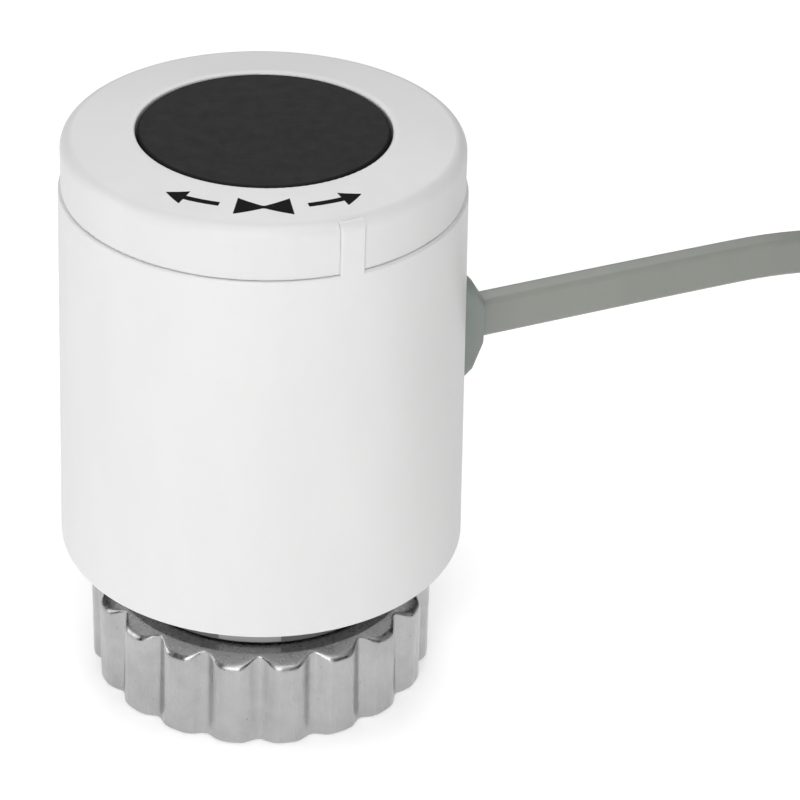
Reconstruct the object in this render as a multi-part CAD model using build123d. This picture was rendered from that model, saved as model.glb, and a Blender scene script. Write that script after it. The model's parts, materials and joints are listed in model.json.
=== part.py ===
from build123d import *
import math
import os

# Thermal actuator head for a radiator or manifold valve, normally closed, with an M30 x 1.5 union nut.
# The frame's origin is the centre of the union nut's mouth. +Z points up through the indicator disc, and the
# front is -Y. All sizes are in millimetres.

os.makedirs("parts", exist_ok=True)

# Housing
SEAM_Z = 61.5  # where the cap meets the housing
SEAM_R = 22.15
RIM_ROUND = 0.25
FLOOR_Z = 17.65  # underside of the housing
FLOOR_R = 23.1
FOOT_ROUND = 0.3
WALL = 2.15
FLOOR_THICK = 2.2
NECK_HOLE_R = 16.35
TONGUE_AZ = -90 + 24.6  # index tongue, right of the front
TONGUE_WIDTH = 2.8
TONGUE_TOP = 67.35
TONGUE_THICK = 1.05
TONGUE_ROUND = 0.9
TONGUE_CORNER = 0.35  # of its plan
TONGUE_SPAN = 3.0  # depth of that plan, from the outer face inwards
TONGUE_CLEAR = 0.03  # to the cap's notch, on each side
SCREW_CIRCLE_R = 18.7  # the three screws that hold the base
SCREW_AZIMUTHS = (60, 180, 300)
SCREW_SINK_R = 1.75  # counterbores in the floor
SCREW_SINK = 1.2
UNDERCUT = (56.2, 57.4)  # groove that the cap's hooks snap into

# Cap
CAP_R = 21.85
CAP_TOP = 67.45
CAP_SLOPE = 0.65  # rise of the top face towards the disc
CAP_ROUND = 1.4
CAP_LIP_ROUND = 0.2
CAP_EDGE_ROUND = 0.25
CAP_GAP = 0.03  # shadow line over the housing's rim
DISC_BORE_R = 13.8
SLEEVE_R = 16.4
SLEEVE_END = 60.6
SPIGOT_R = 19.7
SPIGOT_INNER_R = 18.4
SPIGOT_END = 55.6
CAP_HOOK_AZIMUTHS = (45, 135, 225, 315)
SEAL_Z = 59.05  # O-ring between the spigot and the housing
SEAL_R = 19.45
SEAL_WIRE_R = 0.52

# Indicator disc
DISC_R = 13.55
DISC_TOP = 68.2
DISC_SKIRT = 6.7
DISC_DOME = 0.1
DISC_ROUND = 0.3
DISC_THICK = 1.8
STEM_R = 3.2  # stem that sits in the carriage's crown
STEM_Z = 58.3

# Union nut
NUT_HEIGHT = 11.7
NUT_CREST_R = 19.8
NUT_TOP_R = 17.9
NUT_WAVES = 19
NUT_WAVE_DEPTH = 1.5
NUT_WAVE_POWER = 2.2  # higher makes the grooves narrower
NUT_CHAMFER = 0.45  # drop of the top chamfer for each unit of radius
NUT_WAVE_AZ = -90 + 8.9
THREAD_MINOR_R = 14.19  # M30 x 1.5 internal thread
THREAD_BOTTOM = 0.4
THREAD_TOP = 5.9
NUT_RELIEF_R = 15.3
LIP_BOTTOM = 9.0
LIP_R = 13.6

# Neck
NECK_R = 16.15
NECK_LOW_R = 13.4
NECK_END = 7.3
NECK_BORE_R = 9.3
NECK_STEP_Z = NUT_HEIGHT + 0.2
RING_GROOVE = (7.95, 8.75)  # groove of the nut's retaining ring
RING_GROOVE_R = 12.6
NECK_KEY_R = 16.28  # raised key on the front of the neck
NECK_KEY_AZ = -94.5
NECK_KEY_HALF_ANGLE = 12.5
FLANGE_R = 20.7
FLANGE_Z = FLOOR_Z + FLOOR_THICK
FLANGE_THICK = 2.1
POST_X = 15.7
POST_R = 2.9
SCREW_SHANK_R = 0.95
SCREW_BOSS_R = 1.85

# Lift carriage
YOKE_Z = 22.7
YOKE_THICK = 3.0
CAGE_R = 12.2
CAGE_INNER_R = 10.1
CROWN_Z = 56.5
CROWN_THICK = 3.6
SEAT_Z = 42.8  # flange that the closing spring bears on
SEAT_THICK = 2.0
SEAT_R = 16.7
STRUT_HALF_ANGLE = 38
PAD_R = 3.45  # hardened pad under the crown
PAD_THICK = 1.15
WASHER_THICK = 0.6
SPRING_R = 15.2  # mean radius of the closing spring
SPRING_WIRE_R = 0.85
SPRING_TURNS = 4.0

# Wax motor
HOLDER_Z = 30.4
HOLDER_THICK = 3.0
HOLDER_CUP_R = 9.7
CUP_R = 8.0
CUP_BASE = 34.7
CUP_TOP = 50.2
PISTON_R = 2.5
PISTON_CLEAR = 0.05
PISTON_BOTTOM = 47.9
GUIDE_TOP = 54.8
CUP_INNER_R = 7.0
WAX_TOP = 46.6
HEATER_R = 6.0
CONTACT_Z = (31.9, 34.4)  # undersides of the lower and the upper contact
CONTACT_THICK = 0.3
LUG_X = 11.65  # where the cores meet their crimp lugs
LUG_Y = 3.4
LUG_TOPS = (35.9, 37.6)

# Thrust pin
PIN_R = 4.0
PIN_END = 6.0
PIN_HEAD_R = 7.3
PIN_HEAD_Z = 14.6
PIN_HEAD_THICK = 1.5
PIN_CUP_R = 8.8
PIN_CUP_INNER_R = 7.6
PIN_CUP_BOTTOM = 13.2
CLIP_GROOVE = (13.6, 14.5)
CLIP_R = 8.0
PIN_SPRING_R = 5.9
PIN_SPRING_WIRE_R = 0.7
PIN_SPRING_TURNS = 2.5
BUSH_R = 7.2
BUSH_TOP = 12.3
BUSH_GROOVE = (10.5, 11.7)  # holds the pin's seal

# Lead
LEAD_AZ = 23.0  # from +X towards +Y
LEAD_Z = 39.35
LEAD_WIDTH = 4.8
LEAD_THICK = 3.0
LEAD_CORNER = 0.7
LEAD_INNER_R = 16.6  # where the sheath ends inside the housing
GLAND_Z = 40.0
GLAND_FACE_R = 26.0
CORE_R = 0.85
CORE_SPACING = 2.0

# Points that the flat lead's free stretch follows, from inside the gland to where it joins its coil
LEAD_ROUTE = [
    (15.28, 6.49, 39.35),
    (31.2, 13.24, 39.35),
    (47.3, 20.2, 39.25),
    (66.0, 28.0, 39.15),
    (80.5, 33.2, 35.0),
    (91.3, 35.8, 25.6),
    (99.8, 35.6, 14.8),
    (110.4, 33.4, 6.8),
    (122.2, 28.0, 3.2),
    (132.4, 19.4, 2.45),
]
COIL_CENTRE = (110.5, -3.6)
COIL_MIDDLE_R = 27.0
COIL_BUNDLE = 14.0
COIL_HEIGHT = 10.0

# Stripped end of the lead, which lies on the coil
TAIL_AZ = -60.0  # where the sheath ends, about the coil's centre
TAIL_R = 27.0
TAIL_Z = 12.5
TAIL_LENGTH = 32.0
FERRULE_LENGTH = 8.0
FERRULE_R = 0.6


def revolved(outline):
    """A solid turned about the Z axis from (radius, height) points."""
    return revolve(make_face(Plane.XZ * Polyline(*outline, close=True)), Axis.Z, 360)


def ring(outer, inner, low, high):
    """A plain ring, or a disc where inner is 0."""
    return revolved([(inner, low), (outer, low), (outer, high), (inner, high)])


def block(low, high):
    """A box from its lowest to its highest corner."""
    size = [h - l for l, h in zip(low, high)]
    middle = [(h + l) / 2 for l, h in zip(low, high)]
    return Pos(*middle) * Box(*size)


def sector(outer, inner, low, high, azimuth, half_angle):
    """The part of a ring within half_angle of an azimuth, in degrees."""
    a = math.radians(half_angle)
    reach = 2 * outer
    half = reach * math.tan(a)
    wedge = make_face(Polyline((0, 0), (reach, -half), (reach, half), close=True))
    return ring(outer, inner, low, high) & Rot(0, 0, azimuth) * Pos(0, 0, low) * extrude(wedge, high - low)


def coil_spring(mean_r, wire_r, low, high, turns):
    """A round-wire compression spring between two heights, its wire's ends trimmed flat."""
    path = Helix(pitch=(high - low - 2 * wire_r) / turns, height=high - low - 2 * wire_r, radius=mean_r)
    wire = sweep(Plane(origin=path @ 0, z_dir=path % 0) * Circle(wire_r), path, is_frenet=True)
    return Pos(0, 0, low + wire_r) * wire


def save(name, part):
    part.label = name
    export_step(part, f"parts/{name}.step")
    print(name, "volume", round(part.volume, 1))


def shell_r(z):
    """Outside radius of the tapered housing at a height."""
    return FLOOR_R + (SEAM_R - FLOOR_R) * (z - FLOOR_Z) / (SEAM_Z - FLOOR_Z)


def housing_blank():
    return revolved([(0, FLOOR_Z), (FLOOR_R, FLOOR_Z), (SEAM_R, SEAM_Z), (0, SEAM_Z)])


def gland_tool(half_width, half_height, from_r, to_r, corner):
    """A rounded rectangular bar along the lead's direction, centred on the gland."""
    section = Plane(origin=(from_r, 0, GLAND_Z), x_dir=(0, 1, 0), z_dir=(1, 0, 0))
    shape = RectangleRounded(2 * half_width, 2 * half_height, corner)
    return Rot(0, 0, LEAD_AZ) * extrude(section * shape, to_r - from_r)


def lead_bore(from_r, to_r):
    section = Plane(origin=(from_r, 0, LEAD_Z), x_dir=(0, 1, 0), z_dir=(1, 0, 0))
    shape = RectangleRounded(LEAD_THICK, LEAD_WIDTH, LEAD_CORNER)
    return Rot(0, 0, LEAD_AZ) * extrude(section * shape, to_r - from_r)


def index_tongue():
    """Upright rounded bar on the rim that keys the cap."""
    bar = ring(SEAM_R, SEAM_R - TONGUE_THICK, SEAM_Z - 0.5, TONGUE_TOP)
    top_outer = bar.edges().filter_by(GeomType.CIRCLE).filter_by(
        lambda e: abs(e.center().Z - TONGUE_TOP) < 0.01 and e.radius > SEAM_R - 0.1
    )
    bar = fillet(top_outer, TONGUE_ROUND)
    outline = RectangleRounded(TONGUE_SPAN, TONGUE_WIDTH, TONGUE_CORNER)
    plan = Pos(SEAM_R - TONGUE_SPAN / 2, 0, SEAM_Z - 0.5) * outline
    return bar & Rot(0, 0, TONGUE_AZ) * extrude(plan, TONGUE_TOP - SEAM_Z + 0.5)


def housing_shell():
    """White tapered cup with a floor, a hole for the neck, a window for the gland and an index tongue."""
    outer = housing_blank()
    ends = outer.edges().filter_by(GeomType.CIRCLE).sort_by(Axis.Z)
    outer = fillet(ends[0], FOOT_ROUND)
    ends = outer.edges().filter_by(GeomType.CIRCLE).sort_by(Axis.Z)
    outer = fillet(ends[-1], RIM_ROUND)
    inner_floor = FLOOR_Z + FLOOR_THICK
    inner = revolved(
        [
            (0, inner_floor),
            (shell_r(inner_floor) - WALL, inner_floor),
            (SEAM_R - WALL, SEAM_Z),
            (0, SEAM_Z),
        ]
    )
    body = outer - inner - ring(NECK_HOLE_R, 0, FLOOR_Z - 1, inner_floor + 1)
    body -= ring(SEAM_R - WALL + 0.55, SEAM_R - WALL - 2, *UNDERCUT)
    body += index_tongue()
    for azimuth in SCREW_AZIMUTHS:
        hole = Rot(0, 0, azimuth) * Pos(SCREW_CIRCLE_R, 0, FLOOR_Z)
        body -= hole * Cylinder(SCREW_SHANK_R + 0.2, 20)
        body -= hole * Cylinder(SCREW_SINK_R, 2 * SCREW_SINK)
    return body - gland_tool(4.2, 5.4, 15, 30, 1.2)


def top_cap():
    """Ring cap: a slightly raised inner lip, an inner sleeve, a hooked spigot and a notch for the tongue."""
    low = SEAM_Z + CAP_GAP
    rise = CAP_TOP + CAP_SLOPE
    outline = [
        (DISC_BORE_R, SLEEVE_END),
        (SLEEVE_R, SLEEVE_END),
        (SLEEVE_R, CAP_TOP - 2.1),
        (SPIGOT_INNER_R, CAP_TOP - 2.1),
        (SPIGOT_INNER_R, SPIGOT_END),
        (SPIGOT_R, SPIGOT_END),
        (SPIGOT_R, SEAM_Z),
        (21.0, SEAM_Z),
        (21.0, low),
        (CAP_R, low),
        (CAP_R - 0.05, CAP_TOP),
        (DISC_BORE_R + 0.7, rise),
        (DISC_BORE_R, rise),
    ]
    cap = revolved(outline)
    top_edges = cap.edges().filter_by(GeomType.CIRCLE).filter_by(
        lambda e: abs(e.center().Z - CAP_TOP) < 0.01 and e.radius > 20
    )
    cap = fillet(top_edges, CAP_ROUND)
    low_edge = cap.edges().filter_by(GeomType.CIRCLE).filter_by(
        lambda e: abs(e.center().Z - low) < 0.01 and e.radius > CAP_R - 0.01
    )
    cap = fillet(low_edge, CAP_EDGE_ROUND)
    lip = cap.edges().filter_by(GeomType.CIRCLE).filter_by(
        lambda e: abs(e.center().Z - rise) < 0.01 and e.radius < DISC_BORE_R + 0.1
    )
    cap = fillet(lip, CAP_LIP_ROUND)
    for azimuth in range(30, 360, 60):
        rib = block((SLEEVE_R - 0.2, -0.6, SLEEVE_END + 0.8), (SPIGOT_INNER_R + 0.2, 0.6, CAP_TOP - 2.0))
        cap += Rot(0, 0, azimuth) * rib
    cap -= ring(SPIGOT_R + 0.3, SEAL_R - SEAL_WIRE_R - 0.03, SEAL_Z - 0.65, SEAL_Z + 0.65)
    slot_low = (SPIGOT_INNER_R - 1, -0.7, SPIGOT_END - 1)
    slot_high = (SPIGOT_R + 1, 0.7, SEAL_Z - 1.05)
    for azimuth in CAP_HOOK_AZIMUTHS:
        cap += sector(SPIGOT_R + 0.7, 19.0, UNDERCUT[0] + 0.15, UNDERCUT[1] - 0.15, azimuth, 14)
        for side in (-1, 1):
            cap -= Rot(0, 0, azimuth + side * 18) * block(slot_low, slot_high)
    half = TONGUE_WIDTH / 2 + TONGUE_CLEAR
    notch = block((SEAM_R - TONGUE_THICK - 0.02, -half, SEAM_Z - 1), (30, half, TONGUE_TOP + 0.2))
    return cap - Rot(0, 0, TONGUE_AZ) * notch


def cap_seal():
    return Pos(0, 0, SEAL_Z) * Torus(SEAL_R, SEAL_WIRE_R)


def wave_point(start, share):
    """A point of the grip's outline, a share of one wave on from the crest at angle start."""
    dip = (0.5 - 0.5 * math.cos(2 * math.pi * share)) ** NUT_WAVE_POWER
    r = NUT_CREST_R - NUT_WAVE_DEPTH * dip
    a = start + share * 2 * math.pi / NUT_WAVES
    return r * math.cos(a), r * math.sin(a)


def union_nut():
    """Nut with a waved grip, a chamfered top, an inward lip and the M30 thread's minor diameter."""
    outline = [
        (THREAD_MINOR_R, THREAD_BOTTOM),
        (THREAD_MINOR_R + 0.45, 0),
        (NUT_CREST_R - 0.45, 0),
        (NUT_CREST_R + 0.5, 0.95),
        (NUT_CREST_R + 0.5, NUT_HEIGHT - NUT_CHAMFER * (NUT_CREST_R + 0.5 - NUT_TOP_R)),
        (NUT_TOP_R, NUT_HEIGHT),
        (LIP_R, NUT_HEIGHT),
        (LIP_R, LIP_BOTTOM),
        (NUT_RELIEF_R, LIP_BOTTOM),
        (NUT_RELIEF_R, THREAD_TOP + 0.4),
        (THREAD_MINOR_R, THREAD_TOP),
    ]
    pitch = 2 * math.pi / NUT_WAVES
    waves = []
    for k in range(NUT_WAVES):
        start = math.radians(NUT_WAVE_AZ) + k * pitch
        ends = [(-math.sin(a), math.cos(a)) for a in (start, start + pitch)]
        points = [wave_point(start, share) for share in (0, 0.2, 0.3, 0.4, 0.5, 0.6, 0.7, 0.8, 1)]
        waves.append(Spline(*points, tangents=ends))
    grip = extrude(make_face(waves), NUT_HEIGHT)
    return revolved(outline) & grip


def neck_base():
    """Inner base: a flange on the housing's floor, the neck that carries the nut, and two posts."""
    top = FLANGE_Z + FLANGE_THICK
    base = revolved(
        [
            (NECK_BORE_R, top),
            (FLANGE_R, top),
            (FLANGE_R, FLANGE_Z),
            (NECK_R, FLANGE_Z),
            (NECK_R, NECK_STEP_Z),
            (NECK_LOW_R, NECK_STEP_Z),
            (NECK_LOW_R, RING_GROOVE[1]),
            (RING_GROOVE_R, RING_GROOVE[1]),
            (RING_GROOVE_R, RING_GROOVE[0]),
            (NECK_LOW_R, RING_GROOVE[0]),
            (NECK_LOW_R, NECK_END),
            (BUSH_R, NECK_END),
            (BUSH_R, BUSH_TOP),
            (NECK_BORE_R, BUSH_TOP),
        ]
    )
    for x in (-POST_X, POST_X):
        base += Pos(x, 0, (top + HOLDER_Z) / 2) * Cylinder(POST_R, HOLDER_Z - top)
        base -= Pos(x, 0, HOLDER_Z - 3.0) * Cylinder(SCREW_SHANK_R, 6.0)
    for azimuth in SCREW_AZIMUTHS:
        boss = Rot(0, 0, azimuth) * Pos(SCREW_CIRCLE_R, 0, top + 1.2)
        base += boss * Cylinder(SCREW_BOSS_R, 2.4)
        base -= Rot(0, 0, azimuth) * Pos(SCREW_CIRCLE_R, 0, FLANGE_Z + 1.9) * Cylinder(SCREW_SHANK_R, 3.8)
    low, high = NECK_STEP_Z + 0.2, FLOOR_Z - 0.3
    return base + sector(NECK_KEY_R, NECK_R - 0.5, low, high, NECK_KEY_AZ, NECK_KEY_HALF_ANGLE)


def nut_retaining_ring():
    """Open wire ring in the neck's groove, under the nut's lip."""
    gap = Rot(0, 0, 40) * block((10, -1.2, 7), (16, 1.2, 10))
    return ring(14.0, RING_GROOVE_R + 0.05, RING_GROOVE[0] + 0.05, RING_GROOVE[1] - 0.05) - gap


def pan_screw(head_r, head_h, length):
    """A screw that hangs down from its head's seat at the origin, with a cross recess."""
    screw = Pos(0, 0, head_h / 2) * Cylinder(head_r, head_h)
    screw = fillet(screw.edges().sort_by(Axis.Z)[-1], 0.3 * head_h)
    screw += Pos(0, 0, -length / 2) * Cylinder(SCREW_SHANK_R, length)
    for turn in (0, 90):
        screw -= Pos(0, 0, head_h) * Rot(0, 0, turn) * Box(1.3 * head_r, 0.28 * head_r, head_h)
    return screw


def base_screws():
    """Three screws from below, through the housing's floor into the base flange's bosses."""
    screws = []
    for azimuth in SCREW_AZIMUTHS:
        place = Rot(0, 0, azimuth) * Pos(SCREW_CIRCLE_R, 0, FLOOR_Z + SCREW_SINK)
        screws.append(place * Rot(180, 0, 0) * pan_screw(1.6, 1.1, 4.4))
    return Compound(children=screws)


def holder_screws():
    """Two screws that hold the heater holder on its posts."""
    seat = HOLDER_Z + HOLDER_THICK
    return Compound(children=[Pos(x, 0, seat) * pan_screw(2.0, 1.3, 7.4) for x in (-POST_X, POST_X)])


def pin_guide_bush():
    """Bush in the neck's end that guides the thrust pin, with a groove for its seal."""
    return ring(BUSH_R, PIN_R + 0.04, NECK_END, BUSH_TOP) - ring(5.6, PIN_R - 1, *BUSH_GROOVE)


def pin_seal():
    return ring(5.5, PIN_R + 0.06, BUSH_GROOVE[0] + 0.1, BUSH_GROOVE[1] - 0.1)


def heater_holder():
    """Insulating bridge with a cup that holds the heating disc and the wax cartridge."""
    holder = block((-18.2, -4.2, HOLDER_Z), (18.2, 4.2, HOLDER_Z + HOLDER_THICK))
    holder = fillet(holder.edges().filter_by(Axis.Z), 2.0)
    holder += ring(HOLDER_CUP_R, 0, HOLDER_Z, CUP_BASE + 4.0)
    holder -= ring(CUP_R + 0.05, 0, CONTACT_Z[0], CUP_BASE + 5)
    holder -= block((5.0, -5.6, CONTACT_Z[0]), (11.0, 5.6, CUP_BASE + 5))  # window for the contacts' tabs
    holder -= block((11.0, -5.6, CONTACT_Z[0]), (13.4, 5.6, HOLDER_Z + 4))
    for x in (-POST_X, POST_X):
        holder -= Pos(x, 0, HOLDER_Z) * Cylinder(1.1, 12)
    return holder


def contact(low, y, lug_top):
    """Brass contact plate with a tab bent up into a crimp lug."""
    top = low + CONTACT_THICK
    plate = ring(HEATER_R + 0.4, 0, low, top)
    plate += block((3.0, y - 1.1, low), (LUG_X + 1.25, y + 1.1, top))
    return plate + block((LUG_X + 0.95, y - 1.1, low), (LUG_X + 1.25, y + 1.1, lug_top))


def heater_element():
    return ring(HEATER_R, 0, CONTACT_Z[0] + CONTACT_THICK, CONTACT_Z[1])


def wax_cartridge_cup():
    return ring(CUP_R, 0, CUP_BASE, CUP_TOP) - ring(CUP_INNER_R, 0, CUP_BASE + 1.0, CUP_TOP + 1)


def wax_charge():
    return ring(CUP_INNER_R, 0, CUP_BASE + 1.0, WAX_TOP)


def cartridge_diaphragm():
    return ring(CUP_INNER_R, 0, WAX_TOP, PISTON_BOTTOM - 0.1)


def cartridge_guide():
    """Brass guide crimped into the cup's mouth, bored for the piston."""
    low = PISTON_BOTTOM - 0.1
    guide = ring(CUP_INNER_R, 0, low, CUP_TOP) + ring(CUP_R, 0, CUP_TOP, CUP_TOP + 1.0)
    guide += ring(4.6, 0, CUP_TOP, GUIDE_TOP)
    return guide - ring(PISTON_R + PISTON_CLEAR, 0, low - 1, GUIDE_TOP + 1)


def wax_piston():
    piston = ring(PISTON_R, 0, PISTON_BOTTOM, CROWN_Z - 0.05)
    return chamfer(piston.edges().filter_by(GeomType.CIRCLE), 0.3)


def lift_carriage():
    """Cage that hangs over the cartridge: crown, two struts, spring seat, yoke and pin cup."""
    cage = ring(CAGE_R, 0, CROWN_Z, CROWN_Z + CROWN_THICK)
    cage -= ring(PAD_R + 0.05, 0, CROWN_Z - 1, CROWN_Z + PAD_THICK + 0.05)
    cage -= ring(STEM_R, 0, STEM_Z - 0.1, CROWN_Z + CROWN_THICK + 1)
    cage += ring(CAGE_R, 0, YOKE_Z, YOKE_Z + YOKE_THICK)
    for azimuth in (-90, 90):
        cage += sector(CAGE_R, CAGE_INNER_R, YOKE_Z, CROWN_Z + 1, azimuth, STRUT_HALF_ANGLE)
    cage += ring(SEAT_R, CAGE_INNER_R, SEAT_Z, SEAT_Z + SEAT_THICK)
    cage += ring(PIN_CUP_R, PIN_CUP_INNER_R, PIN_CUP_BOTTOM, YOKE_Z + 0.5)
    return cage - ring(CLIP_R + 0.05, PIN_CUP_INNER_R - 0.6, *CLIP_GROOVE)


def thrust_pin():
    pin = ring(PIN_HEAD_R, 0, PIN_HEAD_Z, PIN_HEAD_Z + PIN_HEAD_THICK) + ring(PIN_R, 0, PIN_END, PIN_HEAD_Z)
    tip = pin.edges().filter_by(GeomType.CIRCLE).sort_by(Axis.Z)[0]
    return chamfer(tip, 0.5)


def pin_circlip():
    """Snap ring that keeps the thrust pin's head in the carriage's cup."""
    gap = Rot(0, 0, -40) * block((5, -1.0, 13), (10, 1.0, 15))
    return ring(CLIP_R, 6.4, CLIP_GROOVE[0] + 0.05, CLIP_GROOVE[1] - 0.05) - gap


def piston_pad():
    return ring(PAD_R, 0, CROWN_Z, CROWN_Z + PAD_THICK)


def spring_washer():
    low = SEAT_Z + SEAT_THICK
    return ring(SPRING_R + 1.2, SPRING_R - 1.3, low, low + WASHER_THICK)


def indicator_disc():
    """Black plunger disc: a shallow cup whose skirt shows when the valve is open."""
    skirt_r = DISC_R - 1.4
    disc = revolved(
        [
            (0, DISC_TOP - DISC_THICK),
            (skirt_r, DISC_TOP - DISC_THICK),
            (skirt_r, DISC_TOP - DISC_SKIRT),
            (DISC_R, DISC_TOP - DISC_SKIRT),
            (DISC_R, DISC_TOP - DISC_DOME),
            (0, DISC_TOP),
        ]
    )
    rim = disc.edges().filter_by(GeomType.CIRCLE).filter_by(
        lambda e: abs(e.center().Z - DISC_TOP + DISC_DOME) < 0.01
    )
    disc = fillet(rim, DISC_ROUND)
    disc += ring(STEM_R, 0, STEM_Z, DISC_TOP - 1.0)
    for azimuth in (0, 60, 120):
        rib = block((-DISC_R + 1.0, -0.6, DISC_TOP - 4.0), (DISC_R - 1.0, 0.6, DISC_TOP - 1.2))
        disc += Rot(0, 0, azimuth) * rib
    return disc


def cable_gland():
    """Moulded strain relief: tapered outer boss, neck through the wall and an inner collar."""
    def face(r, half_width, half_height, corner):
        plane = Plane(origin=(r, 0, GLAND_Z), x_dir=(0, 1, 0), z_dir=(1, 0, 0))
        return plane * RectangleRounded(2 * half_width, 2 * half_height, corner)

    boss = loft([face(21.4, 5.2, 7.8, 2.2), face(24.4, 4.4, 5.9, 1.8)])
    boss += loft([face(24.4, 4.4, 5.9, 1.8), face(GLAND_FACE_R, 3.5, 3.4, 1.4)])
    boss = Rot(0, 0, LEAD_AZ) * boss
    boss -= housing_blank()
    neck = gland_tool(4.1, 5.3, 19.5, 23.6, 1.1)
    collar = gland_tool(5.0, 6.2, 18.7, 19.9, 1.4)
    collar &= ring(20.35, 0, 20, 60)
    return boss + neck + collar - lead_bore(15, 30)


def cable_clamp():
    """Steel collar pressed on the sheath behind the gland."""
    return gland_tool(3.2, 4.2, 17.5, 18.6, 1.0) - lead_bore(15, 30)


def tube_along(points, radius, bend):
    """A round wire through points with equal bends."""
    path = FilletPolyline(*points, radius=[bend] * (len(points) - 2))
    return sweep(Plane(origin=path @ 0, z_dir=path % 0) * Circle(radius), path)


def inner_cores():
    """Insulated cores from the sheath's end to the two crimp lugs."""
    a = math.radians(LEAD_AZ)
    start, straight = [(r * math.cos(a), r * math.sin(a)) for r in (LEAD_INNER_R, LEAD_INNER_R - 1.6)]
    high = LEAD_Z + CORE_SPACING / 2
    low = LEAD_Z - CORE_SPACING / 2
    upper_path = [(*start, high), (*straight, high), (12.2, LUG_Y, high - 0.5), (LUG_X, LUG_Y, LUG_TOPS[1])]
    lower_path = [
        (*start, low),
        (*straight, low),
        (14.6, 0.6, low),
        (12.0, -LUG_Y, 38.0),
        (LUG_X, -LUG_Y, LUG_TOPS[0]),
    ]
    return tube_along(upper_path, CORE_R, 0.9), tube_along(lower_path, CORE_R, 0.9)


def crimp_sleeves():
    """Crimp barrels at the inner cores' ends, on the contacts' lugs."""
    length = 2.2
    sleeves = []
    for y, lug_top in zip((-LUG_Y, LUG_Y), LUG_TOPS):
        sleeves.append(Pos(LUG_X, y, lug_top - length / 2) * Cylinder(0.95, length))
    return Compound(children=sleeves)


def lead_radii(points):
    """The largest fair bend at each corner: 0.45 of the shorter run over the tangent of half the turn."""
    radii = []
    for before, corner, after in zip(points, points[1:], points[2:]):
        a = Vector(*corner) - Vector(*before)
        b = Vector(*after) - Vector(*corner)
        half_turn = math.radians(a.get_angle(b)) / 2
        radii.append(0.45 * min(a.length, b.length) / math.tan(half_turn))
    return radii


def cord_tube():
    """The flat lead's free stretch: out through the gland, then down to the surface it lies on."""
    radii = lead_radii(LEAD_ROUTE)
    print("lead bend radii", [round(r) for r in radii])
    path = FilletPolyline(*LEAD_ROUTE, radius=radii)
    azimuth = math.radians(LEAD_AZ)
    start = Plane(origin=path @ 0, x_dir=(-math.sin(azimuth), math.cos(azimuth), 0), z_dir=path % 0)
    section = start * RectangleRounded(LEAD_THICK, LEAD_WIDTH, LEAD_CORNER)
    tube = sweep(section, path)
    print("lead free length", round(path.length, 1))
    print("tube volume / (section x length)", round(tube.volume / section.area / path.length, 3))
    return tube


def cord_coil():
    """Outer shape of the lead's coil, lying on the surface."""
    half = COIL_BUNDLE / 2
    coil = ring(COIL_MIDDLE_R + half, COIL_MIDDLE_R - half, 0, COIL_HEIGHT)
    return Pos(COIL_CENTRE[0], COIL_CENTRE[1], 0) * coil


def on_coil(azimuth, r, z):
    """A point above the coil, from its azimuth about the coil's centre."""
    a = math.radians(azimuth)
    return COIL_CENTRE[0] + r * math.cos(a), COIL_CENTRE[1] + r * math.sin(a), z


def tail_points(side):
    """Centreline of one bared core: it starts in line with the sheath and settles beside the other."""
    shares = (0, 0.2, 0.45, 0.75, 1)
    settle = (0, 0.1, 0.6, 1, 1)
    start_z = TAIL_Z + side * CORE_SPACING / 2
    rest_z = COIL_HEIGHT + 0.1 + CORE_R
    points = []
    for share, down in zip(shares, settle):
        azimuth = TAIL_AZ - math.degrees(share * TAIL_LENGTH / TAIL_R)
        points.append(on_coil(azimuth, TAIL_R + side * 1.6 * down, start_z + (rest_z - start_z) * down))
    return points


def tail(side):
    return tube_along(tail_points(side), CORE_R, 4.0)


def wire_ferrules():
    """Crimped end sleeves on the two bared cores."""
    ferrules = []
    for side in (-1, 1):
        points = tail_points(side)
        along = Vector(*points[-1]) - Vector(*points[-2])
        seat = Plane(origin=points[-1], z_dir=along)
        barrel = seat * Pos(0, 0, FERRULE_LENGTH / 2) * Cylinder(FERRULE_R, FERRULE_LENGTH)
        collar = seat * Cylinder(CORE_R + 0.1, 3.0) - seat * Pos(0, 0, -1) * Cylinder(CORE_R, 2)
        ferrules.append(barrel + collar)
    return Compound(children=ferrules)


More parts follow.
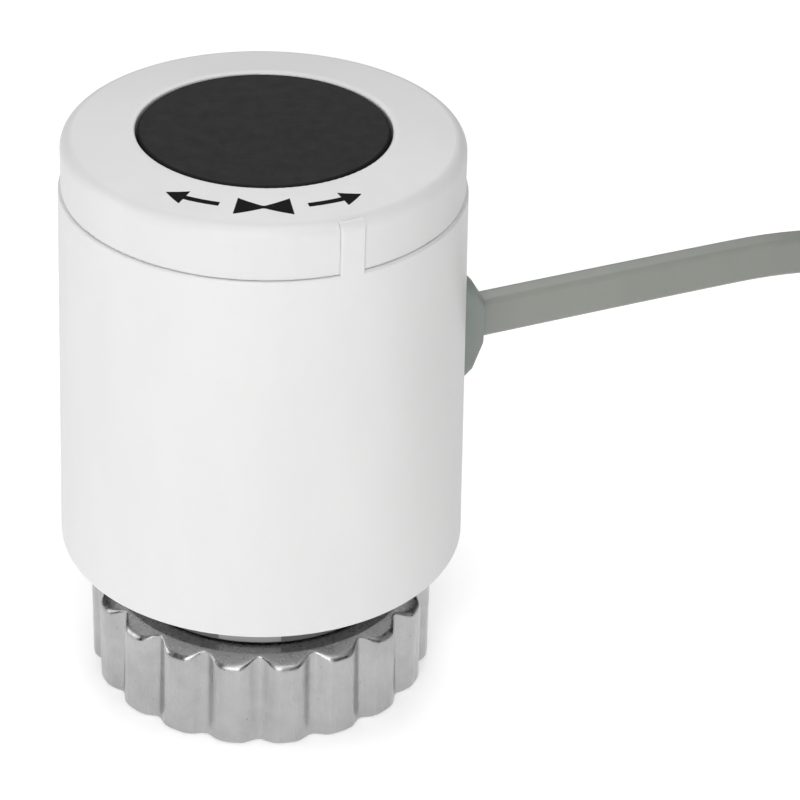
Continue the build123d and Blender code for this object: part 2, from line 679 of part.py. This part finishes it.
parts = {
    "housing_shell": housing_shell(),
    "top_cap": top_cap(),
    "cap_seal": cap_seal(),
    "neck_base": neck_base(),
    "base_screws": base_screws(),
    "union_nut": union_nut(),
    "nut_retaining_ring": nut_retaining_ring(),
    "pin_guide_bush": pin_guide_bush(),
    "pin_seal": pin_seal(),
    "heater_holder": heater_holder(),
    "holder_screws": holder_screws(),
    "lower_contact": contact(CONTACT_Z[0], -LUG_Y, LUG_TOPS[0]),
    "heater_element": heater_element(),
    "upper_contact": contact(CONTACT_Z[1], LUG_Y, LUG_TOPS[1]),
    "wax_cartridge_cup": wax_cartridge_cup(),
    "wax_charge": wax_charge(),
    "cartridge_diaphragm": cartridge_diaphragm(),
    "cartridge_guide": cartridge_guide(),
    "wax_piston": wax_piston(),
    "lift_carriage": lift_carriage(),
    "piston_pad": piston_pad(),
    "spring_washer": spring_washer(),
    "closing_spring": coil_spring(
        SPRING_R, SPRING_WIRE_R, SEAT_Z + SEAT_THICK + WASHER_THICK, SLEEVE_END, SPRING_TURNS
    ),
    "indicator_disc": indicator_disc(),
    "thrust_pin": thrust_pin(),
    "overtravel_spring": coil_spring(
        PIN_SPRING_R, PIN_SPRING_WIRE_R, PIN_HEAD_Z + PIN_HEAD_THICK, YOKE_Z, PIN_SPRING_TURNS
    ),
    "pin_circlip": pin_circlip(),
    "cable_gland": cable_gland(),
    "cable_clamp": cable_clamp(),
    "crimp_sleeves": crimp_sleeves(),
    "cord_tube": cord_tube(),
    "cord_coil": cord_coil(),
    "live_tail": tail(1),
    "neutral_tail": tail(-1),
    "wire_ferrules": wire_ferrules(),
}
parts["live_core"], parts["neutral_core"] = inner_cores()

for name, part in parts.items():
    save(name, part)
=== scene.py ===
import json
import math

import bpy
from mathutils import Matrix, Vector


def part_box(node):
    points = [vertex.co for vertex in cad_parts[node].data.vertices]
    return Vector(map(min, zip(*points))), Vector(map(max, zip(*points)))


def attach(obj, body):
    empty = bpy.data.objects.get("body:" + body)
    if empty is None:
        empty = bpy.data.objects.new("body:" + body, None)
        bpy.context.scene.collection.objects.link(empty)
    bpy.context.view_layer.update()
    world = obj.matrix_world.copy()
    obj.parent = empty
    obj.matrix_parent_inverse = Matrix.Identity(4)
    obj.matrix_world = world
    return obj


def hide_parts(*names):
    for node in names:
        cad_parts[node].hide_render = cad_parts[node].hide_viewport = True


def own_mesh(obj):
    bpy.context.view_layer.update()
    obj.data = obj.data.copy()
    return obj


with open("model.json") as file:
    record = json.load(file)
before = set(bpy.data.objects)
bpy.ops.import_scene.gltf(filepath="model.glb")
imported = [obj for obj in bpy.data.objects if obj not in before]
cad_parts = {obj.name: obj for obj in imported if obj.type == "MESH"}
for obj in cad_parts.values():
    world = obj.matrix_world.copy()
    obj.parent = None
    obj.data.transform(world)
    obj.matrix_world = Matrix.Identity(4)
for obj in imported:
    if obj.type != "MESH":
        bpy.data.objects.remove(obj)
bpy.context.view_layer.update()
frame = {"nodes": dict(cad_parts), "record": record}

# A thermal valve actuator head: white housing, black position disc, waved nickel-plated union nut and a flat
# grey lead. Positions come from the CAD frame; sizes here are in metres, or in millimetres times MM.
MM = 0.001


# ---------------------------------------------------------------- camera

CAP_HEIGHT = 6.6 * MM
SEAM_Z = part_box("top_cap")[1][2] - CAP_HEIGHT  # where the cap meets the housing
CAMERA_DISTANCE = 0.32227
CAMERA_ELEVATION = math.radians(31.512)
CAMERA_AIM_DROP = 26.795 * MM  # how far below the seam the sight line passes
CAMERA_YAW = math.radians(2.7616)
CAMERA_PITCH = math.radians(-0.0925)
CAMERA_ROLL = math.radians(0.3720)
CAMERA_LENS = 128.25
SENSOR_WIDTH = 36


def make_camera():
    data = bpy.data.cameras.new("camera")
    data.lens = CAMERA_LENS
    data.sensor_width = SENSOR_WIDTH
    data.clip_start = 0.01
    camera = bpy.data.objects.new("camera", data)
    height = SEAM_Z - CAMERA_AIM_DROP + CAMERA_DISTANCE * math.sin(CAMERA_ELEVATION)
    place = Vector((0, -CAMERA_DISTANCE * math.cos(CAMERA_ELEVATION), height))
    camera.matrix_world = (
        Matrix.Translation(place)
        @ Matrix.Rotation(math.radians(90) - CAMERA_ELEVATION, 4, "X")
        @ Matrix.Rotation(-CAMERA_YAW, 4, "Y")
        @ Matrix.Rotation(CAMERA_PITCH, 4, "X")
        @ Matrix.Rotation(CAMERA_ROLL, 4, "Z")
    )
    bpy.context.scene.collection.objects.link(camera)
    bpy.context.scene.camera = camera


make_camera()


# ---------------------------------------------------------------- lead

# The route of the lead's free stretch, as in the CAD source, from inside the gland to the coil
LEAD_ROUTE = [
    (0.01528, 0.00649, 0.03935),
    (0.0312, 0.01324, 0.03935),
    (0.0473, 0.0202, 0.03925),
    (0.0660, 0.0280, 0.03915),
    (0.0805, 0.0332, 0.0350),
    (0.0913, 0.0358, 0.0256),
    (0.0998, 0.0356, 0.0148),
    (0.1104, 0.0334, 0.0068),
    (0.1222, 0.0280, 0.0032),
    (0.1324, 0.0194, 0.00245),
]
LEAD_WIDTH = 4.8
LEAD_THICK = 3.0
LEAD_CORNER = 0.7
CORNER_STEPS = 6  # of each rounded corner of its section

# The put-away length: an inward layer on the surface, an outward one on top of it, then a last half turn
COIL_CENTRE = Vector((110.5, -3.6)) * MM
COIL_START = 46.4  # degrees, where the route joins the coil, which runs clockwise seen from above
COIL_END = -60.0 - 5 * 360
COIL_STEPS = 16  # control points in one turn
COIL_KEYS = [  # degrees turned, radius and height in millimetres
    (0, 31.76, 2.45),
    (900, 22.9, 2.45),
    (990, 23.2, 7.0),
    (1690, 29.6, 7.25),
    (1790, 28.2, 11.6),
    (1906.4, 27.0, 12.5),
]


def coil_key(turned):
    """Radius and height of the coiled lead after that many degrees."""
    for (a, r0, z0), (b, r1, z1) in zip(COIL_KEYS, COIL_KEYS[1:]):
        if turned <= b:
            share = (turned - a) / (b - a)
            eased = share * share * (3 - 2 * share)
            return (r0 + (r1 - r0) * share) * MM, (z0 + (z1 - z0) * eased) * MM
    return COIL_KEYS[-1][1] * MM, COIL_KEYS[-1][2] * MM


def coil_points():
    whole = COIL_START - COIL_END
    count = round(whole / 360 * COIL_STEPS)
    points = []
    for k in range(1, count + 1):
        turned = whole * k / count
        radius, height = coil_key(turned)
        angle = math.radians(COIL_START - turned)
        x = COIL_CENTRE.x + radius * math.cos(angle)
        y = COIL_CENTRE.y + radius * math.sin(angle)
        points.append((x, y, height))
    return points


def lead_section():
    """The flat lead's outline, in millimetres, as a hidden curve: its thickness along X, its width along Y."""
    data = bpy.data.curves.new("lead_section", "CURVE")
    data.dimensions = "2D"
    spline = data.splines.new("POLY")
    outline = []
    for quarter in range(4):
        sx, sy = ((1, 1), (-1, 1), (-1, -1), (1, -1))[quarter]
        centre = Vector((sx * (LEAD_THICK / 2 - LEAD_CORNER), sy * (LEAD_WIDTH / 2 - LEAD_CORNER)))
        for step in range(CORNER_STEPS + 1):
            a = math.radians(90 * quarter + 90 / CORNER_STEPS * step)
            outline.append(centre + LEAD_CORNER * Vector((math.cos(a), math.sin(a))))
    spline.points.add(len(outline) - 1)
    for point, place in zip(spline.points, outline):
        point.co = (place.x, place.y, 0, 1)
    spline.use_cyclic_u = True
    section = bpy.data.objects.new("lead_section", data)
    section.hide_render = True
    bpy.context.scene.collection.objects.link(section)
    return section


def make_lead():
    data = bpy.data.curves.new("supply_lead", "CURVE")
    data.dimensions = "3D"
    data.twist_mode = "Z_UP"
    data.bevel_mode = "OBJECT"
    data.bevel_object = lead_section()
    data.use_fill_caps = True
    spline = data.splines.new("NURBS")
    route = LEAD_ROUTE + coil_points()
    spline.points.add(len(route) - 1)
    for point, place in zip(spline.points, route):
        point.co = (*place, 1)
        point.radius = MM  # scales the section
    spline.order_u = 3
    spline.use_endpoint_u = True
    spline.resolution_u = 8
    lead = bpy.data.objects.new("supply_lead", data)
    bpy.context.scene.collection.objects.link(lead)
    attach(lead, "housing")
    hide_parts("cord_tube", "cord_coil")
    return lead


lead = make_lead()


# ---------------------------------------------------------------- materials

NECK_R = 16.17 * MM  # the neck, just inside its raised key
NECK_KEY_EDGE = 0.06 * MM  # over which the key's paler tone comes in
NECK_KEY_TOP = (18 * MM, 18.5 * MM)  # heights over which it goes out again


class Look:
    """A Principled material, with helpers that make patterns in the object's own space."""

    def __init__(self, name, **sockets):
        self.material = bpy.data.materials.new(name)
        self.material.use_nodes = True
        self.tree = self.material.node_tree
        self.bsdf = self.tree.nodes["Principled BSDF"]
        for socket, value in sockets.items():
            self.bsdf.inputs[socket.replace("_", " ")].default_value = value
        self.place = self.add("ShaderNodeTexCoord").outputs["Object"]
        self.height = None
        self.base = None

    def add(self, kind, **settings):
        node = self.tree.nodes.new(kind)
        for key, value in settings.items():
            setattr(node, key, value)
        return node

    def join(self, output, socket):
        self.tree.links.new(output, socket)

    def scaled(self, stretch):
        """Object space, stretched, so that a pattern runs along one axis."""
        mapping = self.add("ShaderNodeMapping")
        mapping.inputs["Scale"].default_value = stretch
        self.join(self.place, mapping.inputs["Vector"])
        return mapping.outputs["Vector"]

    def noise(self, size, detail=3.0, rough=0.55, stretch=(1, 1, 1)):
        """Noise from 0 to 1 whose features are about that many metres across."""
        node = self.add("ShaderNodeTexNoise")
        node.inputs["Scale"].default_value = 1 / size
        node.inputs["Detail"].default_value = detail
        node.inputs["Roughness"].default_value = rough
        self.join(self.scaled(stretch), node.inputs["Vector"])
        return node.outputs["Fac"]

    def cells(self, size):
        node = self.add("ShaderNodeTexVoronoi")
        node.inputs["Scale"].default_value = 1 / size
        self.join(self.place, node.inputs["Vector"])
        return node.outputs["Distance"]

    def spread(self, value, low, high, to_low=0.0, to_high=1.0):
        """value remapped from low..high, smoothly and clamped."""
        node = self.add("ShaderNodeMapRange", interpolation_type="SMOOTHSTEP")
        for socket, number in zip(("From Min", "From Max", "To Min", "To Max"), (low, high, to_low, to_high)):
            node.inputs[socket].default_value = number
        self.join(value, node.inputs["Value"])
        return node.outputs["Result"]

    def maths(self, operation, a, b):
        node = self.add("ShaderNodeMath", operation=operation)
        for value, socket in zip((a, b), node.inputs):
            if isinstance(value, (int, float)):
                socket.default_value = value
            else:
                self.join(value, socket)
        return node.outputs["Value"]

    def tint(self, base, other, share):
        """base turning into other as share, a socket, goes from 0 to 1."""
        node = self.add("ShaderNodeMix", data_type="RGBA")
        sockets = [s for s in node.inputs if s.type == "RGBA"]
        for colour, socket in zip((base, other), sockets):
            if isinstance(colour, tuple):
                socket.default_value = (*colour, 1)
            else:
                self.join(colour, socket)
        self.join(share, node.inputs[0])
        return [s for s in node.outputs if s.type == "RGBA"][0]

    def colour(self, output):
        self.join(output, self.bsdf.inputs["Base Color"])

    def roughness(self, output):
        self.join(output, self.bsdf.inputs["Roughness"])

    def bump(self, value, depth, strength=1.0):
        """Relief of that depth in metres, on top of any relief made before."""
        node = self.add("ShaderNodeBump")
        node.inputs["Distance"].default_value = depth
        node.inputs["Strength"].default_value = strength
        self.join(value, node.inputs["Height"])
        if self.height is not None:
            self.join(self.height, node.inputs["Normal"])
        self.height = node.outputs["Normal"]
        self.join(self.height, self.bsdf.inputs["Normal"])


def grey(value, warmth=0.0):
    return (value * (1 + warmth), value, value * (1 - warmth))


def moulded(name, base, rough, grain, depth, mottle, shine=0.5, wear=1.0):
    """Moulded plastic: fine eroded grain, faint flow marks, and specks and hairlines that grow with wear."""
    look = Look(name, Specular_IOR_Level=shine)
    flow = look.spread(look.noise(9 * MM, 4, 0.6, (1, 1, 0.35)), 0.3, 0.75)
    mottled = look.tint(base, tuple(c * (1 - mottle) for c in base), flow)
    dust = look.spread(look.cells(1.6 * MM), 0.03, 0.07, 0.12 * wear, 0.0)
    look.base = look.tint(mottled, grey(0.35), dust)
    look.colour(look.base)
    handled = look.spread(look.noise(2 * MM, 5, 0.65), 0.25, 0.8, rough - 0.03, rough + 0.05)
    hairlines = look.spread(look.noise(0.6 * MM, 2, 0.5, (0.08, 1.6, 1.6)), 0.62, 0.72, 0.0, 0.1 * wear)
    look.roughness(look.maths("ADD", handled, hairlines))
    look.bump(look.noise(grain, 2, 0.5), depth, 0.5)
    look.bump(hairlines, 0.02 * MM, 0.4)
    return look


def metal(name, base, rough, streaks, stretch, depth=0.004 * MM, stain=0.15):
    """Worked metal: streaks from its making, slight stains, small pits and uneven polish."""
    look = Look(name, Metallic=1.0)
    lines = look.noise(streaks, 4, 0.6, stretch)
    cloud = look.noise(4 * MM, 4, 0.6)
    dull = tuple(c * (1 - stain) for c in base)
    pits = look.spread(look.cells(1.3 * MM), 0.03, 0.08, 1.0, 0.0)
    stained = look.tint(base, dull, look.spread(cloud, 0.35, 0.8))
    look.colour(look.tint(stained, tuple(c * 0.55 for c in base), pits))
    polish = look.spread(lines, 0.25, 0.8, rough * 0.75, rough * 1.4)
    look.roughness(look.maths("ADD", polish, look.maths("MULTIPLY", pits, 0.2)))
    look.bump(lines, depth, 0.6)
    look.bump(look.maths("SUBTRACT", 1.0, pits), 0.01 * MM, 0.6)
    return look


def keyed_neck(base, key_tone):
    """The neck's plastic, paler on its raised key: past a radius, below the flange."""
    look = moulded("neck_plastic", base, 0.5, 0.25 * MM, 0.012 * MM, 0.12)
    distance = look.add("ShaderNodeVectorMath", operation="LENGTH")
    look.join(look.scaled((1, 1, 0)), distance.inputs[0])
    height = look.add("ShaderNodeSeparateXYZ")
    look.join(look.place, height.inputs["Vector"])
    outside = look.spread(distance.outputs["Value"], NECK_R, NECK_R + NECK_KEY_EDGE)
    below = look.spread(height.outputs["Z"], *NECK_KEY_TOP, 1.0, 0.0)
    look.colour(look.tint(look.base, key_tone, look.maths("MULTIPLY", outside, below)))
    return look


def make_looks():
    """One look for each of the record's slots."""
    return {
        "white_plastic": moulded("white_plastic", grey(0.78, 0.002), 0.4, 0.22 * MM, 0.010 * MM, 0.03),
        "cap_plastic": moulded("cap_plastic", grey(0.76, 0.002), 0.42, 0.22 * MM, 0.010 * MM, 0.03),
        "black_plastic": moulded("black_plastic", grey(0.0095), 0.6, 0.3 * MM, 0.03 * MM, 0.06, 0.17, 0.15),
        "grey_plastic": moulded("grey_plastic", grey(0.16), 0.5, 0.25 * MM, 0.012 * MM, 0.12),
        "cream_plastic": moulded("cream_plastic", (0.62, 0.57, 0.44), 0.45, 0.25 * MM, 0.012 * MM, 0.08),
        "gland_grey": moulded("gland_grey", (0.265, 0.295, 0.27), 0.5, 0.2 * MM, 0.012 * MM, 0.12),
        "lead_sheath": moulded("lead_sheath", (0.285, 0.295, 0.268), 0.42, 0.2 * MM, 0.008 * MM, 0.06),
        "brown_core": moulded("brown_core", (0.11, 0.045, 0.02), 0.3, 0.15 * MM, 0.004 * MM, 0.15),
        "blue_core": moulded("blue_core", (0.02, 0.09, 0.36), 0.3, 0.15 * MM, 0.004 * MM, 0.15),
        "black_rubber": moulded("black_rubber", grey(0.02), 0.7, 0.12 * MM, 0.01 * MM, 0.2),
        "wax": moulded("wax", (0.42, 0.2, 0.08), 0.35, 0.5 * MM, 0.02 * MM, 0.3),
        "ptc_ceramic": moulded("ptc_ceramic", grey(0.2, 0.02), 0.65, 0.1 * MM, 0.01 * MM, 0.2),
        "nickel_plate": metal("nickel_plate", (0.45, 0.45, 0.45), 0.3, 0.6 * MM, (1, 1, 0.06), 0.003 * MM),
        "zinc_steel": metal("zinc_steel", (0.6, 0.61, 0.64), 0.3, 0.2 * MM, (1, 1, 0.3)),
        "spring_steel": metal("spring_steel", (0.42, 0.42, 0.44), 0.32, 0.15 * MM, (1, 1, 1)),
        "brass_turned": metal("brass_turned", (0.78, 0.56, 0.24), 0.25, 0.15 * MM, (0.05, 0.05, 1)),
        "brass_strip": metal("brass_strip", (0.8, 0.6, 0.28), 0.28, 0.2 * MM, (0.1, 1, 1)),
        "tinned_copper": metal("tinned_copper", (0.66, 0.66, 0.67), 0.3, 0.2 * MM, (1, 1, 1)),
    }


looks = make_looks()


def dress(obj, look):
    obj.data.materials.clear()
    obj.data.materials.append(look.material)


def dress_cad_nodes():
    """Give every CAD node the material of its slot in the record."""
    slot_of = {part["node"]: part["material_slot"] for part in frame["record"]["subparts"]}
    for name, obj in frame["nodes"].items():
        for k in range(len(obj.material_slots)):
            obj.material_slots[k].material = looks[slot_of[name]].material
    dress(frame["nodes"]["neck_base"], keyed_neck(grey(0.16), grey(0.36)))


dress_cad_nodes()
dress(lead, looks["lead_sheath"])


def mesh_object(name, verts, faces, smooth=False):
    mesh = bpy.data.meshes.new(name)
    mesh.from_pydata(verts, [], faces)
    mesh.validate()
    mesh.polygons.foreach_set("use_smooth", [smooth] * len(mesh.polygons))
    obj = bpy.data.objects.new(name, mesh)
    bpy.context.scene.collection.objects.link(obj)
    return obj


# ---------------------------------------------------------------- union nut

NUT_HEIGHT = 11.7
NUT_CREST_R = 19.8
NUT_TOP_R = 17.9
NUT_WAVES = 19
NUT_WAVE_DEPTH = 1.5
NUT_WAVE_POWER = 2.2  # higher makes the grooves narrower
NUT_FOOT_SHARE = 0.6  # of the grooves' depth that is left at their lower ends
NUT_WAVE_AZ = math.radians(-90 + 8.9)
NUT_CHAMFER = 0.45  # drop of the top chamfer for each unit of radius
THREAD_MINOR_R = 14.19
THREAD_DEPTH = 0.81
THREAD_PITCH = 1.5
THREAD_BOTTOM = 0.4
THREAD_TOP = 5.9
THREAD_ROWS = 96
NUT_AZIMUTHS = 800
NUT_FOOT = 0.45  # chamfer of the foot and of the bore's mouth
NUT_LIP_R = 13.6
NUT_LIP_BOTTOM = 9.0
NUT_RELIEF_R = 15.3


def arc_corner(before, corner, after, radius, steps=4):
    """Points that round one corner of an outline."""
    a = (before - corner).normalized()
    b = (after - corner).normalized()
    half = a.angle(b) / 2
    reach = min(radius / math.tan(half), 0.45 * (before - corner).length, 0.45 * (after - corner).length)
    start, end = corner + a * reach, corner + b * reach
    points = []
    for k in range(steps + 1):
        t = k / steps
        points.append(start * (1 - t) ** 2 + corner * (2 * t * (1 - t)) + end * t ** 2)
    return points


def grip_radius(azimuth, share_of_depth=1.0):
    """Outer radius of the waved grip, at a share of its grooves' full depth."""
    share = (azimuth - NUT_WAVE_AZ) * NUT_WAVES / (2 * math.pi)
    dip = (0.5 - 0.5 * math.cos(2 * math.pi * share)) ** NUT_WAVE_POWER
    return NUT_CREST_R - NUT_WAVE_DEPTH * share_of_depth * dip


def thread_radius(azimuth, z):
    """Bore radius with the internal thread, which fades out at both ends."""
    phase = (z / THREAD_PITCH - azimuth / (2 * math.pi)) % 1
    tooth = 1 - abs(2 * phase - 1)
    groove = min(max((tooth - 0.25) / 0.6, 0), 1)
    ends = min((z - THREAD_BOTTOM) / 0.7, (THREAD_TOP - z) / 0.7, 1)
    return THREAD_MINOR_R + THREAD_DEPTH * groove * max(ends, 0)


def nut_profile(azimuth):
    """One section of the nut, as closed (radius, height) points in millimetres."""
    grip = grip_radius(azimuth)
    shoulder = NUT_HEIGHT - NUT_CHAMFER * (grip - NUT_TOP_R)
    low_grip = grip_radius(azimuth, NUT_FOOT_SHARE)
    corners = [  # each point, and the radius that rounds it
        ((THREAD_MINOR_R + NUT_FOOT, 0), 0.1),
        ((low_grip - NUT_FOOT, 0), 0.15),
        ((low_grip, NUT_FOOT), 0.15),
        ((grip, shoulder), 1.2),
        ((NUT_TOP_R, NUT_HEIGHT), 0.5),
        ((NUT_LIP_R, NUT_HEIGHT), 0.15),
        ((NUT_LIP_R, NUT_LIP_BOTTOM), 0.1),
        ((NUT_RELIEF_R, NUT_LIP_BOTTOM), 0.1),
        ((NUT_RELIEF_R, THREAD_TOP + 0.5), 0.1),
        ((THREAD_MINOR_R, THREAD_TOP), 0.0),
    ]
    spots = [Vector(place) for place, _ in corners]
    mouth = Vector((THREAD_MINOR_R, THREAD_BOTTOM))
    points = []
    for k, (spot, (_, radius)) in enumerate(zip(spots, corners)):
        if not radius:
            points.append(spot)
            continue
        before = spots[k - 1] if k else mouth
        after = spots[k + 1]
        points += arc_corner(before, spot, after, radius)
    for row in range(1, THREAD_ROWS):
        z = THREAD_TOP + (THREAD_BOTTOM - THREAD_TOP) * row / THREAD_ROWS
        points.append(Vector((thread_radius(azimuth, z), z)))
    points.append(mouth)
    return points


def closed_ring_mesh(name, sections):
    """A closed surface through sections, each a closed loop of points, that go once round and meet."""
    count = len(sections[0])
    verts = [tuple(p) for section in sections for p in section]
    faces = []
    for i in range(len(sections)):
        j = (i + 1) % len(sections)
        for k in range(count):
            m = (k + 1) % count
            faces.append((i * count + k, j * count + k, j * count + m, i * count + m))
    return mesh_object(name, verts, faces, smooth=True)


def make_nut():
    """The union nut with softened edges and its M30 x 1.5 thread."""
    sections = []
    for k in range(NUT_AZIMUTHS):
        azimuth = 2 * math.pi * k / NUT_AZIMUTHS
        c, s = math.cos(azimuth) * MM, math.sin(azimuth) * MM
        sections.append([(p.x * c, p.x * s, p.y * MM) for p in nut_profile(azimuth)])
    nut = closed_ring_mesh("threaded_union_nut", sections)
    dress(nut, looks["nickel_plate"])
    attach(nut, "nut")
    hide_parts("union_nut")


make_nut()


# ---------------------------------------------------------------- springs

WIRE_SIDES = 12
STEPS_PER_TURN = 40
VALVE_SPRING = (15.2 * MM, 0.85 * MM, 4)  # mean radius, wire radius and turns
PIN_SPRING = (5.9 * MM, 0.7 * MM, 2.5)


def coiled_wire(name, mean_r, wire_r, low, high, turns):
    """A closed mesh of round wire wound from one height to the other, in metres."""
    count = round(turns * STEPS_PER_TURN)
    start, rise = low + wire_r, high - low - 2 * wire_r
    verts, faces = [], []
    for k in range(count + 1):
        a = 2 * math.pi * turns * k / count
        outward = Vector((math.cos(a), math.sin(a), 0))
        along = Vector((-math.sin(a), math.cos(a), rise / (2 * math.pi * turns * mean_r))).normalized()
        across = along.cross(outward)
        centre = outward * mean_r + Vector((0, 0, start + rise * k / count))
        for side in range(WIRE_SIDES):
            b = 2 * math.pi * side / WIRE_SIDES
            verts.append(centre + wire_r * (outward * math.cos(b) + across * math.sin(b)))
    for k in range(count):
        for side in range(WIRE_SIDES):
            a, b = k * WIRE_SIDES + side, k * WIRE_SIDES + (side + 1) % WIRE_SIDES
            faces.append((a, b, b + WIRE_SIDES, a + WIRE_SIDES))
    faces.append(tuple(reversed(range(WIRE_SIDES))))
    faces.append(tuple(range(count * WIRE_SIDES, (count + 1) * WIRE_SIDES)))
    return mesh_object(name, verts, faces, smooth=True)


def make_spring(name, node, body, size):
    """A compression spring wound over the height of the CAD part it replaces."""
    mean_r, wire_r, turns = size
    low, high = (corner[2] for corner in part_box(node))
    spring = coiled_wire(name, mean_r, wire_r, low, high, turns)
    dress(spring, looks["spring_steel"])
    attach(spring, body)
    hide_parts(node)
    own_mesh(spring)


make_spring(
    "valve_closing_spring", "closing_spring", "housing", VALVE_SPRING
)
make_spring("pin_spring", "overtravel_spring", "carriage", PIN_SPRING)


# ---------------------------------------------------------------- printed mark

MARK_R = 17.6
MARK_LIFT = 0.02
CAP_TOP = 67.45
CAP_SLOPE = 0.65
CAP_FLAT_R = 21.8
CAP_LIP_R = 14.5


def ring_height(radius):
    """Height of the cap's top face, in millimetres."""
    return CAP_TOP + CAP_SLOPE * (CAP_FLAT_R - radius) / (CAP_FLAT_R - CAP_LIP_R)


def on_ring(across, outward, lift):
    """A point on the cap's face: millimetres along the mark's arc, towards the rim, and above the face."""
    azimuth = math.radians(-90) + across / MARK_R
    radius = MARK_R + outward
    return (radius * math.cos(azimuth) * MM, radius * math.sin(azimuth) * MM, (ring_height(radius) + lift) * MM)


def band(stations, steps=8):
    """A thin solid between stations (across, inner edge, outer edge)."""
    fine = []
    for a, b in zip(stations, stations[1:]):
        fine += [tuple(x + (y - x) * k / steps for x, y in zip(a, b)) for k in range(steps)]
    fine.append(stations[-1])
    verts, faces = [], []
    for across, inner, outer in fine:
        for edge in (inner, outer):
            for lift in (-MARK_LIFT, MARK_LIFT):
                verts.append(on_ring(across, edge, lift))
    for k in range(len(fine) - 1):
        a, b = 4 * k, 4 * k + 4
        for p, q in ((0, 1), (1, 3), (3, 2), (2, 0)):
            faces.append((a + p, a + q, b + q, b + p))
    faces.append((0, 2, 3, 1))
    last = 4 * len(fine) - 4
    faces.append((last, last + 1, last + 3, last + 2))
    return verts, faces


def make_mark():
    """A generic printed mark at the front of the cap: a valve symbol between two arrows."""
    half_line, barb, point = 0.34, 1.25, 0.04
    shapes = [
        [(-2.9, -1.5, 1.5), (-0.15, -0.25, 0.25), (0.15, -0.25, 0.25), (2.9, -1.5, 1.5)],
    ]
    for side in (-1, 1):
        line = [(side * 4.6, -half_line, half_line), (side * 8.4, -half_line, half_line)]
        head = [(side * 8.4, -barb, barb), (side * 10.6, -point, point)]
        shapes += [line, head] if side > 0 else [line[::-1], head[::-1]]
    verts, faces = [], []
    for shape in shapes:
        more_verts, more_faces = band(shape)
        offset = len(verts)
        verts += more_verts
        faces += [tuple(offset + k for k in face) for face in more_faces]
    mark = mesh_object("cap_mark", verts, faces)
    dress(mark, moulded("mark_ink", grey(0.004), 0.7, 0.15 * MM, 0.003 * MM, 0.3, 0.1))
    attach(mark, "housing")


make_mark()


# ---------------------------------------------------------------- floor and light

FLOOR_HALF = 12.0
LIGHT_TARGET = Vector((0, 0, 0.035))
LIGHT_DISTANCE = 0.9
LIGHT_SIZE = 0.5
WORLD_STRENGTH = 0.02


def make_floor():
    verts = [(x * FLOOR_HALF, y * FLOOR_HALF, 0) for x, y in ((-1, -1), (1, -1), (1, 1), (-1, 1))]
    floor = mesh_object("floor", verts, [(0, 1, 2, 3)])
    look = Look("floor", Roughness=0.7, Emission_Strength=0.42)
    look.bsdf.inputs["Emission Color"].default_value = (1, 1, 1, 1)
    look.colour(look.tint(grey(0.86), grey(0.84), look.noise(40 * MM, 3)))
    dress(floor, look)


def softbox(name, azimuth, elevation, power):
    """A square area light that faces the object; azimuth is from the front towards the right."""
    data = bpy.data.lights.new(name, "AREA")
    data.shape = "SQUARE"
    data.size = LIGHT_SIZE
    data.energy = power
    a, e = math.radians(azimuth - 90), math.radians(elevation)
    away = Vector((math.cos(e) * math.cos(a), math.cos(e) * math.sin(a), math.sin(e)))
    light = bpy.data.objects.new(name, data)
    place = Matrix.Translation(LIGHT_TARGET + away * LIGHT_DISTANCE)
    light.matrix_world = place @ away.to_track_quat("Z", "Y").to_matrix().to_4x4()
    bpy.context.scene.collection.objects.link(light)


def make_light():
    softbox("front", -10, 20, 2.75)
    softbox("front_high", 0, 50, 1.5)
    softbox("left", -90, 20, 1.9)
    softbox("right", 80, 20, 0.3)
    softbox("right_high", 45, 50, 0.75)
    softbox("top", 0, 85, 2.65)
    softbox("back", 180, 40, 2.0)
    world = bpy.data.worlds.new("studio")
    world.use_nodes = True
    back = world.node_tree.nodes["Background"]
    back.inputs["Color"].default_value = (1, 1, 1, 1)
    back.inputs["Strength"].default_value = WORLD_STRENGTH
    bpy.context.scene.world = world
    bpy.context.scene.view_settings.view_transform = "Standard"


make_floor()
make_light()
